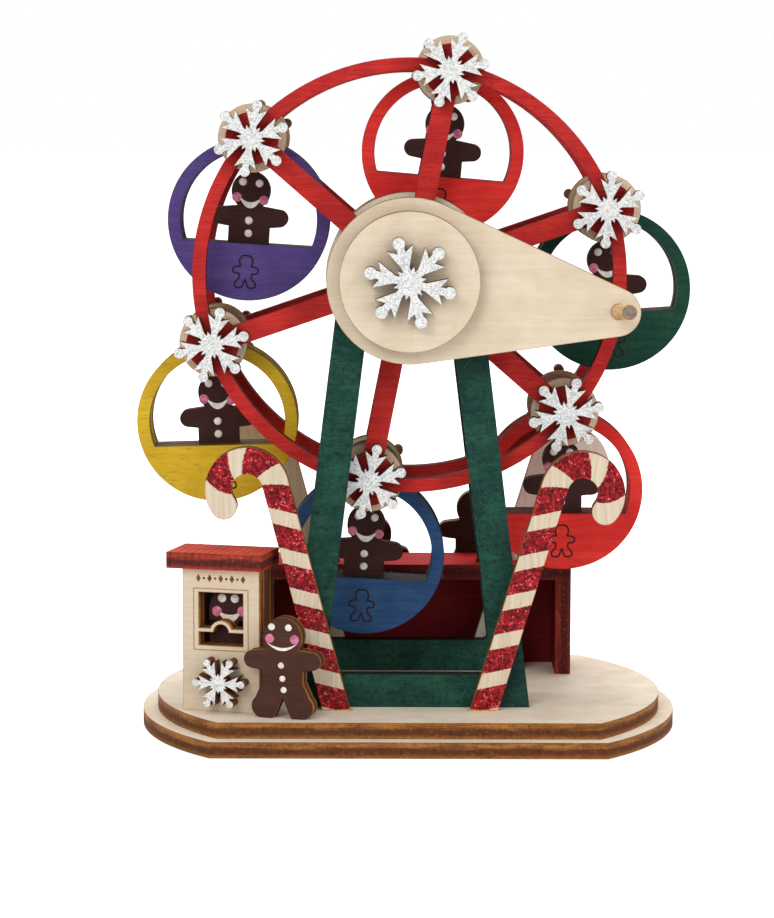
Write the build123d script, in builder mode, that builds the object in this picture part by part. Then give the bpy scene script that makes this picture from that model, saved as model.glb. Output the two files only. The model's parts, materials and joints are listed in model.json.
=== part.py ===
"""Hand-cranked wooden ferris wheel toy.

Laser-cut plywood: a two-step base, two A-frames, a double-rimmed wheel with six
hanging cabins, a crank plate on the front, candy canes, a ticket booth and a
boarding platform. Millimetres. X runs left to right as seen from the front, the
front faces -Y, Z is up, and the origin is the middle of the underside.
"""
from build123d import *
from math import atan2, cos, radians, sin, sqrt
import os

os.makedirs("parts", exist_ok=True)

# ---------------------------------------------------------------- sheet and fits
ply = 3.2                   # thickness of every sheet
bore_gap = 0.05             # radial clearance of a dowel in its hole
swing_bore_gap = 0.08       # radial clearance of a cabin lug on its axle
running_gap = 0.3           # side clearance beside a turning layer
cabin_side_gap = 0.8        # side clearance of a swinging cabin
cane_crank_gap = 0.5        # clearance of the crank plate over the candy canes

# ---------------------------------------------------------------- base
lower_radius = 54.2         # round ends of the lower plate
lower_half_depth = 38.2     # its straight front and back
upper_radius = 51.2
upper_half_depth = 35.2
base_top = 2 * ply

# ---------------------------------------------------------------- A-frames
hub_height = 91.3           # wheel axle above the table
frame_inner_face = 17.2     # half the distance between the two A-frames
frame_foot_half = 24.0      # half the width at the foot
frame_head_radius = 13.5    # round head about the axle
frame_leg_width = 6.45      # measured square to the leg
frame_rail = 6.6            # height of the bottom rail
frame_opening_top = 13.0    # the opening stops this far below the axle
frame_corner = 0.8          # inside corner radius of the opening
axle_radius = 2.4
end_cap_radius = 6.8

# ---------------------------------------------------------------- wheel
cabin_count = 6
node_radius = 41.3          # cabin pivots from the wheel axle
first_node_angle = 18.9     # first pivot, counter-clockwise from +X
rim_radius = 43.0
rim_width = 2.65
pad_radius = 5.2            # round pad of the ring at each pivot
spoke_width = 4.1
ring_hub_radius = 8.0
hub_disc_radius = 16.6      # bare disc on the inside of each ring
spacer_radius = 6.8         # bare disc between ring and cabin
cabin_axle_radius = 1.5
wheel_flake_radius = 7.6

# ---------------------------------------------------------------- cabins
cabin_radius = 16.15
cabin_rim = 2.5
cabin_sill = 4.8            # the sill lies this far below the cabin's middle
cabin_drop = 16.3           # the cabin's middle below its pivot
lug_radius = 6.2
cabin_names = ["green_cabin", "red_cabin", "purple_cabin",
               "yellow_cabin", "blue_cabin", "scarlet_cabin"]
# Each cabin rests a little askew, as friction left it: degrees counter-clockwise.
cabin_tilts = [3.7, -4.8, -3.6, 1.6, -3.4, -0.2]

# ---------------------------------------------------------------- gingerbread figures
head_radius = 3.9
arm_reach = 7.75            # middle of the figure to the tip of an arm
arm_radius = 2.5            # half the height of the arms at the body
waist_half = 4.1
hand_radius = 1.75          # round tip of an arm
rider_head_height = 5.7     # head above the cabin's middle
rider_arm_height = 0.45
stander_head_height = 16.0  # above the soles
stander_arm_height = 11.5
foot_radius = 2.3
foot_spread = 3.9           # middle of a foot from the middle of the figure
hip_height = 7.0
crotch_height = 4.3
crotch_half = 1.9

# ---------------------------------------------------------------- snowflakes, as shares of the radius
flake_core = 0.27           # round middle
flake_stem_half = 0.085     # half the width of an arm
flake_stem_end = 0.34       # the arm starts to widen here
flake_barb_out = 0.77       # point of a barb along the arm
flake_barb_side = 0.29      # and beside it
flake_barb_root = 0.66      # where a barb meets the stem again
flake_tip_start = 0.87
flake_ball = 0.135          # round tip of an arm
flake_point_place = 0.21    # middle of the small point between two arms
flake_point_width = 0.2
flake_point_side = 0.26
front_flake_turns = [25, 10, 19, 15, 16, 13]    # degrees that each glued wheel snowflake is turned
rear_flake_turns = [40, 8, 25, 35, 28, 30]

# ---------------------------------------------------------------- crank
crank_head_radius = 16.1
crank_tip_radius = 4.65
crank_length = 40.4         # axle to handle
crank_angle = -8.5          # at rest, counter-clockwise from +X
crank_spacer_radius = 8.0
cap_radius = 13.6
crank_flake_radius = 9.0
crank_flake_turn = 46       # degrees counter-clockwise
handle_radius = 1.45
handle_reach = 12.5         # handle in front of the crank plate
handle_lean_right = 5.5     # degrees that the glued handle leans
handle_lean_up = 3.5

# ---------------------------------------------------------------- candy canes
cane_width = 5.2
cane_hook_radius = 8.25     # outside of the hook
cane_leg = 46.9             # from the foot to the start of the hook
cane_hook_sweep = 202.0
left_cane_foot = -14.3      # X of the foot
left_cane_lean = 14.8       # degrees outward
right_cane_foot = 14.9
right_cane_lean = 17.0

# ---------------------------------------------------------------- ticket booth
booth_width = 15.8
booth_wall_height = 28.4
booth_inner_depth = ply + 0.1
booth_left_corner = (-44.5, -23.0)   # front left corner on the base
booth_yaw = 15.0            # its front turns this far to the left
roof_left_overhang = 2.8
roof_right_overhang = 0.9
roof_front_overhang = 1.6
roof_back_overhang = 0.4
window_width = 9.2
window_height = 10.6
window_sill = 13.1          # above the base
counter_bar = 0.7           # height of the thin counter bar in the window
counter_height = 3.4        # top of the bar above the window's lower edge
counter_arch_radius = 2.3   # outside of the little arch in the bar
booth_flake_radius = 5.4
booth_flake_height = 6.2    # middle of the snowflake above the base
booth_flake_shift = 0.4     # right of the wall's middle
clerk_head_height = 20.6    # above the base
clerk_shift = 0.6           # right of the booth's middle

# ---------------------------------------------------------------- standing figure
stander_offset = 21.4       # along the booth's front from its left corner

# ---------------------------------------------------------------- platform
platform_half_width = 34.1
platform_front = 13.75
platform_depth = 16.6
deck_joint = 21.9           # Y of the joint between the two deck boards
deck_top = 29.6
notch_gap = 0.2             # clearance round the legs and canes in the deck notches
low_step_top = 17.4         # two boarding steps behind the platform
high_step_top = 23.0
step_width = 21.0
step_depth = 4.6
steps_middle = 3.5          # X where the two steps meet
high_figure_x = 14.4        # X of the waiting figures on the steps
low_figure_x = -7.4
figure_set_back = 0.6       # between the platform and a waiting figure

# ---------------------------------------------------------------- depth of each layer
cabin_half_depth = 1.5 * ply
spacer_inner = cabin_half_depth + cabin_side_gap
ring_inner = spacer_inner + ply
ring_outer = ring_inner + ply
frame_outer_face = frame_inner_face + ply
cane_outer_face = frame_outer_face + ply
crank_back = cane_outer_face + cane_crank_gap
crank_front = crank_back + ply
cap_front = crank_front + ply


def upright(x, rear_y, z, turn=0):
    """Plane that faces the front: sketch x to the right, sketch y up."""
    t = radians(turn)
    return Plane(origin=(x, rear_y, z), x_dir=(cos(t), 0, sin(t)), z_dir=(0, -1, 0))


def node_angle(index):
    return first_node_angle + index * 360 / cabin_count


def node_place(index):
    """X and Z of a cabin pivot."""
    a = radians(node_angle(index))
    return node_radius * cos(a), hub_height + node_radius * sin(a)


def keep(name, piece):
    piece.part.label = name
    export_step(piece.part, f"parts/{name}.step")


# ================================================================ base
with BuildPart() as base_lower_plate:
    with BuildSketch(Plane.XY):
        Circle(lower_radius)
        Rectangle(2 * lower_radius, 2 * lower_half_depth, mode=Mode.INTERSECT)
    extrude(amount=ply)
keep("base_lower_plate", base_lower_plate)

with BuildPart() as base_upper_plate:
    with BuildSketch(Plane.XY.offset(ply)):
        Circle(upper_radius)
        Rectangle(2 * upper_radius, 2 * upper_half_depth, mode=Mode.INTERSECT)
    extrude(amount=ply)
keep("base_upper_plate", base_upper_plate)


# ================================================================ A-frames
def a_frame_outline():
    """Round head about the axle with straight sides down to the foot."""
    with BuildSketch() as outline:
        with BuildLine():
            foot = base_top - hub_height
            Line((-frame_foot_half, foot), (frame_foot_half, foot))
            CenterArc((0, 0), frame_head_radius, 0, 360)
        make_hull()
    return outline.sketch


def a_frame_opening():
    """The triangle between the legs, parallel to the outer sides."""
    rail_top = base_top + frame_rail - hub_height
    with BuildSketch() as opening:
        add(a_frame_outline())
        offset(amount=-frame_leg_width, kind=Kind.INTERSECTION)
        with Locations((0, (rail_top - frame_opening_top) / 2)):
            Rectangle(4 * frame_foot_half, -frame_opening_top - rail_top, mode=Mode.INTERSECT)
        fillet(opening.vertices(), frame_corner)
    return opening.sketch


for name, rear_y in (("front_a_frame", -frame_inner_face), ("rear_a_frame", frame_outer_face)):
    with BuildPart() as a_frame:
        with BuildSketch(upright(0, rear_y, hub_height)):
            add(a_frame_outline())
            add(a_frame_opening(), mode=Mode.SUBTRACT)
            Circle(axle_radius + bore_gap, mode=Mode.SUBTRACT)
        extrude(amount=ply)
    keep(name, a_frame)


# ================================================================ snowflakes
def snowflake_arm(radius):
    """One arm along +X: widening stem, pair of barbs and ball tip, and the point beside it."""
    ball = flake_ball * radius
    stem = flake_stem_half * radius
    start = flake_stem_end * radius
    barb = (flake_barb_out * radius, flake_barb_side * radius)
    root = flake_barb_root * radius
    tip = flake_tip_start * radius
    point_x = flake_point_place * radius * cos(radians(30))
    point_y = flake_point_place * radius * sin(radians(30))
    point_side = flake_point_side * radius
    with BuildSketch() as arm:
        with BuildLine():
            Polyline(
                (0, -stem),
                (start, -stem),
                (barb[0], -barb[1]),
                (root, -stem),
                (tip, -stem),
                (tip, stem),
                (root, stem),
                (barb[0], barb[1]),
                (start, stem),
                (0, stem),
                close=True,
            )
        make_face()
        with Locations((radius - ball, 0)):
            Circle(ball)
        with Locations(Location((point_x, point_y), 30)):
            Triangle(a=flake_point_width * radius, b=point_side, c=point_side, rotation=-90)
    return arm.sketch


def snowflake(radius, turn=0):
    """Six arms with a ball tip and a pair of barbs, and small points between them."""
    with BuildSketch() as flake:
        Circle(flake_core * radius)
        with PolarLocations(0, 6, start_angle=turn):
            add(snowflake_arm(radius))
    return flake.sketch


# ================================================================ gingerbread figures
def figure_arms():
    """Both arms as one bar that narrows to its round tips."""
    with BuildSketch() as arms:
        with BuildLine():
            CenterArc((0, 0), arm_radius, 0, 360)
            CenterArc((arm_reach - hand_radius, 0), hand_radius, 0, 360)
            CenterArc((hand_radius - arm_reach, 0), hand_radius, 0, 360)
        make_hull()
    return arms.sketch


def figure_top(head_height, arm_height, body_foot):
    """Head, arms and straight body down to body_foot."""
    with BuildSketch() as figure:
        with Locations((0, head_height)):
            Circle(head_radius)
        with Locations((0, arm_height)):
            add(figure_arms())
        with Locations((0, (head_height + body_foot) / 2)):
            Rectangle(head_radius, head_height - body_foot)
        with Locations((0, (arm_height + body_foot) / 2)):
            Rectangle(2 * waist_half, arm_height - body_foot)
    return figure.sketch


def standing_figure():
    """Whole figure on two splayed feet, origin between the soles."""
    with BuildSketch() as figure:
        add(figure_top(stander_head_height, stander_arm_height, hip_height))
        for side in (-1, 1):
            with Locations((side * foot_spread, foot_radius)):
                Circle(foot_radius)
            with BuildLine():
                Polyline(
                    (side * waist_half, hip_height),
                    (side * (foot_spread + foot_radius), foot_radius),
                    (side * foot_spread, 0),
                    (side * crotch_half, 0),
                    (0, crotch_height),
                    (0, hip_height),
                    close=True,
                )
            make_face()
    return figure.sketch


# ================================================================ wheel
def wheel_ring():
    with BuildSketch() as ring:
        Circle(rim_radius)
        Circle(rim_radius - rim_width, mode=Mode.SUBTRACT)
        with PolarLocations(node_radius / 2, cabin_count, start_angle=first_node_angle):
            Rectangle(node_radius, spoke_width)
        with PolarLocations(node_radius, cabin_count, start_angle=first_node_angle):
            Circle(pad_radius)
        Circle(ring_hub_radius)
        with PolarLocations(node_radius, cabin_count, start_angle=first_node_angle):
            Circle(cabin_axle_radius + bore_gap, mode=Mode.SUBTRACT)
        Circle(axle_radius + bore_gap, mode=Mode.SUBTRACT)
    return ring.sketch


for name, rear_y in (("front_ring", -ring_inner), ("rear_ring", ring_outer)):
    with BuildPart() as ring:
        with BuildSketch(upright(0, rear_y, hub_height)):
            add(wheel_ring())
        extrude(amount=ply)
    keep(name, ring)

for name, rear_y in (("front_hub_disc", -spacer_inner), ("rear_hub_disc", ring_inner)):
    with BuildPart() as hub_disc:
        with BuildSketch(upright(0, rear_y, hub_height)):
            Circle(hub_disc_radius)
            Circle(axle_radius + bore_gap, mode=Mode.SUBTRACT)
        extrude(amount=ply)
    keep(name, hub_disc)

for name, rear_y in (("front_spacers", -spacer_inner), ("rear_spacers", ring_inner)):
    with BuildPart() as spacers:
        with BuildSketch(upright(0, rear_y, hub_height)):
            with PolarLocations(node_radius, cabin_count, start_angle=first_node_angle):
                Circle(spacer_radius)
                Circle(cabin_axle_radius + bore_gap, mode=Mode.SUBTRACT)
        extrude(amount=ply)
    keep(name, spacers)

for name, rear_y, turns in (("front_wheel_snowflakes", -ring_outer, front_flake_turns),
                            ("rear_wheel_snowflakes", ring_outer + ply, rear_flake_turns)):
    with BuildPart() as flakes:
        for index in range(cabin_count):
            x, z = node_place(index)
            with BuildSketch(upright(x, rear_y, z)):
                add(snowflake(wheel_flake_radius, turns[index]))
            extrude(amount=ply)
    keep(name, flakes)

with BuildPart() as main_axle:
    with BuildSketch(upright(0, cane_outer_face + running_gap, hub_height)):
        Circle(axle_radius)
    extrude(amount=cane_outer_face + running_gap + crank_front)
keep("main_axle", main_axle)

with BuildPart() as rear_end_cap:
    with BuildSketch(upright(0, cane_outer_face + running_gap, hub_height)):
        Circle(end_cap_radius)
        Circle(axle_radius + bore_gap, mode=Mode.SUBTRACT)
    extrude(amount=ply)
keep("rear_end_cap", rear_end_cap)

with BuildPart() as cabin_axles:
    with BuildSketch(upright(0, ring_outer, hub_height)):
        with PolarLocations(node_radius, cabin_count, start_angle=first_node_angle):
            Circle(cabin_axle_radius)
    extrude(amount=2 * ring_outer)
keep("cabin_axles", cabin_axles)

# ================================================================ crank
with BuildPart() as crank_spacer:
    with BuildSketch(upright(0, -(frame_outer_face + running_gap), hub_height)):
        Circle(crank_spacer_radius)
        Circle(axle_radius + bore_gap, mode=Mode.SUBTRACT)
    extrude(amount=crank_back - frame_outer_face - running_gap)
keep("crank_spacer", crank_spacer)


def handle_plane():
    """Plane at the crank's tip, square to the leaning handle."""
    a = radians(crank_angle)
    tip = (crank_length * cos(a), -crank_back, hub_height + crank_length * sin(a))
    right = sin(radians(handle_lean_right))
    up = sin(radians(handle_lean_up))
    forward = sqrt(1 - right * right - up * up)
    return Plane(origin=tip, z_dir=(right, -forward, up))


with BuildPart() as crank_plate:
    with BuildSketch(upright(0, -crank_back, hub_height, crank_angle)):
        with BuildLine():
            CenterArc((0, 0), crank_head_radius, 0, 360)
            CenterArc((crank_length, 0), crank_tip_radius, 0, 360)
        make_hull()
        Circle(axle_radius + bore_gap, mode=Mode.SUBTRACT)
    extrude(amount=ply)
    with BuildSketch(handle_plane().offset(-ply)):
        Circle(handle_radius + bore_gap)
    extrude(amount=3 * ply, mode=Mode.SUBTRACT)
keep("crank_plate", crank_plate)

with BuildPart() as crank_handle:
    with BuildSketch(handle_plane().offset(handle_radius)):
        Circle(handle_radius)
    extrude(amount=ply + handle_reach - handle_radius)
    chamfer(crank_handle.edges().sort_by(Axis.Y)[0], 0.2)
keep("crank_handle", crank_handle)

with BuildPart() as crank_cap:
    with BuildSketch(upright(0, -crank_front, hub_height)):
        Circle(cap_radius)
    extrude(amount=ply)
keep("crank_cap", crank_cap)

with BuildPart() as crank_snowflake:
    with BuildSketch(upright(0, -cap_front, hub_height)):
        add(snowflake(crank_flake_radius, crank_flake_turn))
    extrude(amount=ply)
keep("crank_snowflake", crank_snowflake)


# ================================================================ cabins
def cabin_panel(index, rear_y):
    """Ring with a filled lower part and a lug that hangs on the pivot."""
    x, z = node_place(index)
    with BuildPart() as panel:
        with BuildSketch(upright(x, rear_y, z, cabin_tilts[index])):
            with Locations((0, -cabin_drop)):
                Circle(cabin_radius)
                add(cabin_window(), mode=Mode.SUBTRACT)
            Circle(lug_radius)
            Circle(cabin_axle_radius + swing_bore_gap, mode=Mode.SUBTRACT)
        extrude(amount=ply)
    return panel


def cabin_window():
    with BuildSketch() as window:
        Circle(cabin_radius - cabin_rim)
        with Locations((0, -cabin_sill - cabin_radius)):
            Rectangle(2 * cabin_radius, 2 * cabin_radius, mode=Mode.SUBTRACT)
    return window.sketch


def cabin_rider(index):
    """Figure that grows out of the middle sheet of the cabin's lower part."""
    x, z = node_place(index)
    with BuildPart() as rider:
        with BuildSketch(upright(x, ply / 2, z, cabin_tilts[index])):
            with Locations((0, -cabin_drop)):
                Circle(cabin_radius)
                with Locations((0, cabin_radius - cabin_sill)):
                    Rectangle(2 * cabin_radius, 2 * cabin_radius, mode=Mode.SUBTRACT)
                add(figure_top(rider_head_height, rider_arm_height, -cabin_sill - 1))
        extrude(amount=ply)
    return rider


for index, cabin in enumerate(cabin_names):
    keep(f"{cabin}_front_panel", cabin_panel(index, -ply / 2))
    keep(f"{cabin}_rider", cabin_rider(index))
    keep(f"{cabin}_rear_panel", cabin_panel(index, cabin_half_depth))


# ================================================================ candy canes
def candy_cane(foot_x, rear_y, lean):
    """Leaning leg with a hook that opens outward, foot cut level on the base."""
    middle = cane_hook_radius - cane_width / 2
    side = 1 if lean > 0 else -1
    with BuildPart() as cane:
        with BuildSketch(upright(foot_x, rear_y, base_top, -lean)):
            Rectangle(cane_width, 2 * cane_leg)
            with BuildLine(mode=Mode.PRIVATE):
                bend = CenterArc((side * middle, cane_leg), middle, 90 + side * 90, -side * cane_hook_sweep)
            SlotArc(bend, cane_width)
        extrude(amount=ply)
        split(bisect_by=Plane.XY.offset(base_top), keep=Keep.TOP)
    return cane


for name, foot_x, lean in (("left", left_cane_foot, -left_cane_lean), ("right", right_cane_foot, right_cane_lean)):
    keep(f"{name}_front_cane", candy_cane(foot_x, -frame_outer_face, lean))
    keep(f"{name}_rear_cane", candy_cane(foot_x, cane_outer_face, lean))

# ================================================================ ticket booth
yaw = radians(booth_yaw)
booth_right = Vector(cos(yaw), -sin(yaw), 0)
booth_forward = Vector(-sin(yaw), -cos(yaw), 0)
booth_depth = 2 * ply + booth_inner_depth


def booth_plane(along, back):
    """Plane parallel to the booth's front, its origin on the base."""
    corner = Vector(*booth_left_corner, base_top)
    origin = corner + booth_right * along - booth_forward * back
    return Plane(origin=origin, x_dir=booth_right, z_dir=booth_forward)


def counter():
    """Thin bar with a little arch, left standing across the window."""
    top = window_sill + counter_height
    with BuildSketch() as bar:
        with Locations((0, top - counter_bar / 2)):
            Rectangle(window_width, counter_bar)
        with Locations((0, top - counter_bar)):
            Circle(counter_arch_radius)
            Circle(counter_arch_radius - counter_bar, mode=Mode.SUBTRACT)
            with Locations((0, -counter_arch_radius)):
                Rectangle(2 * window_width, 2 * counter_arch_radius, mode=Mode.SUBTRACT)
    return bar.sketch


with BuildPart() as booth_front_wall:
    with BuildSketch(booth_plane(booth_width / 2, ply)):
        with Locations((0, booth_wall_height / 2)):
            Rectangle(booth_width, booth_wall_height)
        with Locations((0, window_sill + window_height / 2)):
            Rectangle(window_width, window_height, mode=Mode.SUBTRACT)
        add(counter())
    extrude(amount=ply)
keep("booth_front_wall", booth_front_wall)

for name, along in (("booth_left_wall", ply / 2), ("booth_right_wall", booth_width - ply / 2)):
    with BuildPart() as booth_side:
        with BuildSketch(booth_plane(along, ply + booth_inner_depth)):
            with Locations((0, booth_wall_height / 2)):
                Rectangle(ply, booth_wall_height)
        extrude(amount=booth_inner_depth)
    keep(name, booth_side)

with BuildPart() as booth_back_wall:
    with BuildSketch(booth_plane(booth_width / 2, booth_depth)):
        with Locations((0, booth_wall_height / 2)):
            Rectangle(booth_width, booth_wall_height)
    extrude(amount=ply)
keep("booth_back_wall", booth_back_wall)

with BuildPart() as booth_roof:
    roof_width = booth_width + roof_left_overhang + roof_right_overhang
    roof_middle = (booth_width + roof_right_overhang - roof_left_overhang) / 2
    with BuildSketch(booth_plane(roof_middle, booth_depth + roof_back_overhang)):
        with Locations((0, booth_wall_height + ply / 2)):
            Rectangle(roof_width, ply)
    extrude(amount=booth_depth + roof_back_overhang + roof_front_overhang)
keep("booth_roof", booth_roof)

with BuildPart() as booth_clerk:
    with BuildSketch(booth_plane(booth_width / 2 + clerk_shift, ply + booth_inner_depth)):
        with Locations((0, clerk_head_height)):
            Circle(head_radius)
        with Locations((0, clerk_head_height / 2)):
            Rectangle(2 * waist_half, clerk_head_height)
        with Locations((0, clerk_head_height - head_radius)):
            Rectangle(2 * waist_half, head_radius / 2, mode=Mode.SUBTRACT)
            Rectangle(head_radius, head_radius)
    extrude(amount=ply)
keep("booth_clerk", booth_clerk)

with BuildPart() as booth_snowflake:
    with BuildSketch(booth_plane(booth_width / 2 + booth_flake_shift, 0)):
        with Locations((0, booth_flake_height)):
            add(snowflake(booth_flake_radius, 0))
    extrude(amount=ply)
keep("booth_snowflake", booth_snowflake)

# ================================================================ standing figure
with BuildPart() as standing_gingerbread:
    with BuildSketch(booth_plane(stander_offset, 0)):
        add(standing_figure())
    extrude(amount=ply)
keep("standing_gingerbread", standing_gingerbread)

# ================================================================ platform
platform_back = platform_front + platform_depth
deck_underside = deck_top - ply


def frame_leg_span(height):
    """Least and greatest X of the right frame leg at a height."""
    drop = hub_height - base_top
    reach = sqrt(drop ** 2 + frame_foot_half ** 2)
    lean = atan2(frame_foot_half, drop) - atan2(frame_head_radius, sqrt(reach ** 2 - frame_head_radius ** 2))
    outer = frame_foot_half - (height - base_top) * sin(lean) / cos(lean)
    return outer - frame_leg_width / cos(lean), outer


def cane_span(foot_x, lean, height):
    """Least and greatest distance of a cane's leg from the middle at a height."""
    middle = abs(foot_x) + (height - base_top) * sin(radians(lean)) / cos(radians(lean))
    half = cane_width / 2 / cos(radians(lean))
    return middle - half, middle + half


def deck_notches():
    """Notches for the rear frame's legs and for the rear canes."""
    with BuildSketch() as notches:
        low = min(frame_leg_span(deck_top)[0], frame_leg_span(deck_underside)[0]) - notch_gap
        high = max(frame_leg_span(deck_top)[1], frame_leg_span(deck_underside)[1]) + notch_gap
        for side in (-1, 1):
            with Locations((side * (low + high) / 2, (frame_inner_face - notch_gap + deck_joint) / 2)):
                Rectangle(high - low, deck_joint - frame_inner_face + notch_gap)
        for side, foot_x, lean in ((-1, left_cane_foot, left_cane_lean), (1, right_cane_foot, right_cane_lean)):
            inner = cane_span(foot_x, lean, deck_underside)[0] - notch_gap
            outer = cane_span(foot_x, lean, deck_top)[1] + notch_gap
            near = frame_outer_face - notch_gap
            far = cane_outer_face + notch_gap
            with Locations((side * (inner + outer) / 2, (near + far) / 2)):
                Rectangle(outer - inner, far - near)
    return notches.sketch


for name, near, far in (("deck_front_board", platform_front, deck_joint), ("deck_rear_board", deck_joint, platform_back)):
    with BuildPart() as deck_board:
        with BuildSketch(Plane.XY.offset(deck_underside)):
            with Locations((0, (near + far) / 2)):
                Rectangle(2 * platform_half_width, far - near)
            add(deck_notches(), mode=Mode.SUBTRACT)
        extrude(amount=ply)
    keep(name, deck_board)

leg_height = deck_underside - base_top
for name, side in (("platform_left_side", -1), ("platform_right_side", 1)):
    with BuildPart() as platform_side:
        with BuildSketch(Plane.XY.offset(base_top)):
            with Locations((side * (platform_half_width - ply / 2), platform_front + platform_depth / 2)):
                Rectangle(ply, platform_depth)
        extrude(amount=leg_height)
    keep(name, platform_side)

with BuildPart() as platform_wall:
    with BuildSketch(upright(0, platform_back, base_top)):
        with Locations((0, leg_height / 2)):
            Rectangle(2 * (platform_half_width - ply), leg_height)
    extrude(amount=ply)
keep("platform_wall", platform_wall)

with BuildPart() as boarding_steps:
    with BuildSketch(upright(steps_middle, platform_back + step_depth, base_top)):
        with Locations((-step_width / 2, (low_step_top - base_top) / 2)):
            Rectangle(step_width, low_step_top - base_top)
        with Locations((step_width / 2, (high_step_top - base_top) / 2)):
            Rectangle(step_width, high_step_top - base_top)
    extrude(amount=step_depth)
keep("boarding_steps", boarding_steps)

for name, x, z in (("upper_waiting_gingerbread", high_figure_x, high_step_top),
                   ("lower_waiting_gingerbread", low_figure_x, low_step_top)):
    with BuildPart() as waiting:
        with BuildSketch(upright(x, platform_back + figure_set_back + ply, z)):
            add(standing_figure())
        extrude(amount=ply)
    keep(name, waiting)
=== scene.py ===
import json
import math

import bmesh
import bpy
from mathutils import Euler, Matrix, Vector


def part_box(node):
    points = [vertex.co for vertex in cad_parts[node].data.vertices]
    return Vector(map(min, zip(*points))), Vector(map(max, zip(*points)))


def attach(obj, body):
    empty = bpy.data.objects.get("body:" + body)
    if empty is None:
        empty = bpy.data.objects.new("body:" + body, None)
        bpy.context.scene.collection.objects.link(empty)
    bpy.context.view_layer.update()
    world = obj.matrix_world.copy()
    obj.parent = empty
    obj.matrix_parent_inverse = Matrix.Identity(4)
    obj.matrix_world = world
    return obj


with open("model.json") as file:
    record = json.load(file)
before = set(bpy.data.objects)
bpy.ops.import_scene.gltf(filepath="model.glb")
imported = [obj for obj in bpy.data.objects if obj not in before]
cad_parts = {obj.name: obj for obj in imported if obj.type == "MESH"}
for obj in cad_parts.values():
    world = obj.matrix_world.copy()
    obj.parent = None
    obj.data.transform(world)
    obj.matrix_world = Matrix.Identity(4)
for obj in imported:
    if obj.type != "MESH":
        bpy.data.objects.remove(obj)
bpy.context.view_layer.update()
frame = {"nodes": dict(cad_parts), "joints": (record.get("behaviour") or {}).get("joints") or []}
nodes = frame["nodes"]
mm = 0.001
sheetThickness = 3.2  # mm
print("frame loaded,", len(nodes), "nodes")

# camera, fitted to the photograph
cameraView = {
    "place": (-0.002936, -0.582871, 0.124415),
    "yaw": -0.145,      # degrees towards +X
    "pitch": 6.935,     # degrees downward
    "roll": 0.105,
    "lens": 113.16,
    "sensor": 36.0,
}


def makeCamera(view):
    data = bpy.data.cameras.new("photoCamera")
    data.sensor_fit = "VERTICAL"
    data.sensor_height = view["sensor"]
    data.lens = view["lens"]
    data.clip_start = 0.01
    data.clip_end = 20
    yaw = math.radians(view["yaw"])
    pitch = math.radians(view["pitch"])
    roll = math.radians(view["roll"])
    forward = Vector((math.sin(yaw) * math.cos(pitch), math.cos(yaw) * math.cos(pitch), -math.sin(pitch)))
    right = Vector((math.cos(yaw), -math.sin(yaw), 0))
    up = right.cross(forward)
    tiltedRight = right * math.cos(roll) + up * math.sin(roll)
    tiltedUp = up * math.cos(roll) - right * math.sin(roll)
    turn = Matrix((tiltedRight, tiltedUp, -forward)).transposed().to_4x4()
    camera = bpy.data.objects.new("photoCamera", data)
    bpy.context.scene.collection.objects.link(camera)
    camera.matrix_world = Matrix.Translation(view["place"]) @ turn
    bpy.context.scene.camera = camera


makeCamera(cameraView)
print("camera set")


# small helpers for node trees
def addNode(tree, kind, settings=None, **values):
    node = tree.nodes.new(kind)
    for name, value in (settings or {}).items():
        setattr(node, name, value)
    for name, value in values.items():
        node.inputs[name].default_value = value
    return node


def feed(tree, source, target):
    tree.links.new(source, target)


def mathNode(tree, operation, first, second=None, third=None, clamp=False):
    node = tree.nodes.new("ShaderNodeMath")
    node.operation = operation
    node.use_clamp = clamp
    for index, value in enumerate((first, second, third)):
        if value is None:
            continue
        if isinstance(value, (int, float)):
            node.inputs[index].default_value = value
        else:
            tree.links.new(value, node.inputs[index])
    return node.outputs[0]


def times(tree, first, second):
    return mathNode(tree, "MULTIPLY", first, second)


def oneMinus(tree, value, clamp=False):
    return mathNode(tree, "SUBTRACT", 1.0, value, clamp=clamp)


def vectorNode(tree, operation, first, second=None):
    node = addNode(tree, "ShaderNodeVectorMath", {"operation": operation})
    tree.links.new(first, node.inputs[0])
    target = node.inputs["Scale"] if operation == "SCALE" else node.inputs[1]
    if isinstance(second, (int, float, tuple)):
        target.default_value = second
    elif second is not None:
        tree.links.new(second, target)
    return node.outputs["Value"] if operation in ("DOT_PRODUCT", "LENGTH") else node.outputs["Vector"]


def splitAxes(tree, vector):
    node = addNode(tree, "ShaderNodeSeparateXYZ")
    tree.links.new(vector, node.inputs[0])
    return node.outputs


def addTexture(tree, kind, place, **values):
    node = addNode(tree, "ShaderNodeTex" + kind, **values)
    tree.links.new(place, node.inputs["Vector"])
    return node.outputs


def rampValue(tree, value, low, high):
    # 0 at low, 1 at high, smooth between; it falls where low is the greater
    node = tree.nodes.new("ShaderNodeMapRange")
    node.interpolation_type = "SMOOTHSTEP"
    node.inputs["From Min"].default_value = low
    node.inputs["From Max"].default_value = high
    tree.links.new(value, node.inputs["Value"])
    return node.outputs["Result"]


def mixColor(tree, amount, first, second, blend="MIX"):
    node = tree.nodes.new("ShaderNodeMix")
    node.data_type = "RGBA"
    node.blend_type = blend
    for socket, value in ((node.inputs[0], amount), (node.inputs[6], first), (node.inputs[7], second)):
        if isinstance(value, (int, float)):
            socket.default_value = value
        elif isinstance(value, tuple):
            socket.default_value = value + (1,) if len(value) == 3 else value
        else:
            tree.links.new(value, socket)
    return node.outputs[2]


def linear(red, green, blue):
    # a colour as seen on a screen, 0 to 255, to the value that a shader takes
    def one(value):
        share = value / 255
        return share / 12.92 if share <= 0.04045 else ((share + 0.055) / 1.055) ** 2.4
    return (one(red), one(green), one(blue))


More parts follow.
